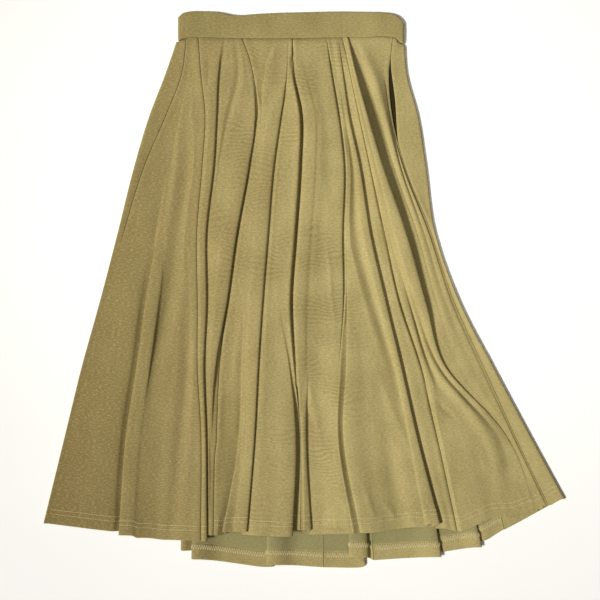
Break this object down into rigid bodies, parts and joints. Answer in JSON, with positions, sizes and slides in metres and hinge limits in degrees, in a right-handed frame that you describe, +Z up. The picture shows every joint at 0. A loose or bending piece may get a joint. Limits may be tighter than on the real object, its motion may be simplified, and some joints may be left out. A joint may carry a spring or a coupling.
{
  "type": "skirt",
  "caption": "Flared midi skirt of shaped gores in heavy olive knit with soft pleats, a plain waistband and a side seam pocket, lying flat with its front up.",
  "frame": {"origin": "on the surface it lies on, under the middle of its outline", "axes": "+X across the skirt, to the right as it is seen from above; +Y from the hem to the waistband; +Z up from the surface, out of the skirt's front"},
  "size_m": [0.7502, 0.8001, 0.0242],
  "materials": {
    "knit_band": "matte",
    "knit_front": "matte",
    "knit_back": "matte",
    "pocket_knit": "matte"
  },
  "bodies": {
    "root": {"waistband": "knit_band", "front_gore_1": "knit_front", "front_gore_2": "knit_front", "front_gore_3": "knit_front", "front_gore_4": "knit_front", "front_gore_5": "knit_front", "back_gore_1": "knit_back", "back_gore_2": "knit_back", "back_gore_3": "knit_back", "back_gore_4": "knit_back", "back_gore_5": "knit_back", "pocket_bag_front": "pocket_knit", "pocket_bag_back": "pocket_knit"}
  },
  "joints": []
}
